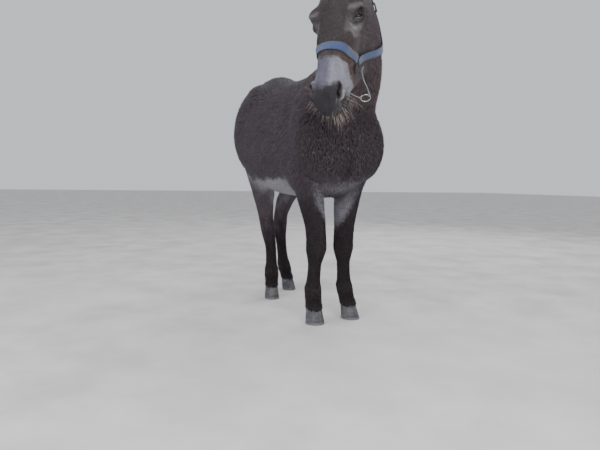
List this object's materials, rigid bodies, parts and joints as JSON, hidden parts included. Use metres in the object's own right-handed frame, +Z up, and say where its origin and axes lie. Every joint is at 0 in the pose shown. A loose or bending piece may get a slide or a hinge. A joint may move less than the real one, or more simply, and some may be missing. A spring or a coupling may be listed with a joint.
{
  "type": "donkey",
  "caption": "Life-size standing donkey in a thick dark winter coat with a pale muzzle and belly, head turned to its right, wearing a webbing headcollar.",
  "frame": {"origin": "on the floor, under the middle of the bounding box", "axes": "+Z up, -Y towards the chest and head, +X to the animal's left"},
  "size_m": [0.5106, 1.42, 1.5566],
  "materials": {
    "coat": "thick matt winter hair, dark brown with lighter tips",
    "mane": "coarse upright black-brown hair",
    "muzzle": "short pale grey hair over grey skin",
    "eye": "wet dark brown eyeball",
    "horn": "dry slate-grey horn",
    "webbing": "woven light-blue nylon with a navy edge",
    "cord": "thin pale braided cord",
    "buckle": "dull dark steel ring",
    "ring": "worn bright steel ring"
  },
  "bodies": {
    "root": {"forequarters": "coat", "barrel": "coat", "hindquarters": "coat", "neck": "coat", "mane": "mane", "head": "coat", "muzzle": "muzzle", "chin": "muzzle", "eye_left": "eye", "eye_right": "eye", "ear_left": "coat", "ear_right": "coat", "tail_dock": "coat", "tail_tuft": "mane", "foreleg_left_arm": "coat", "foreleg_left_cannon": "coat", "foreleg_left_pastern": "coat", "hoof_front_left": "horn", "foreleg_right_arm": "coat", "foreleg_right_cannon": "coat", "foreleg_right_pastern": "coat", "hoof_front_right": "horn", "hindleg_left_thigh": "coat", "hindleg_left_gaskin": "coat", "hindleg_left_cannon": "coat", "hindleg_left_pastern": "coat", "hoof_hind_left": "horn", "hindleg_right_thigh": "coat", "hindleg_right_gaskin": "coat", "hindleg_right_cannon": "coat", "hindleg_right_pastern": "coat", "hoof_hind_right": "horn", "halter_noseband": "webbing", "halter_poll_strap": "webbing", "halter_strap_left": "webbing", "halter_ring_left": "buckle", "halter_buckle_left": "buckle", "halter_cord_left": "cord", "halter_strap_right": "webbing", "halter_ring_right": "buckle", "halter_buckle_right": "buckle", "halter_cord_right": "cord", "halter_ring_jaw": "ring"}
  },
  "joints": []
}
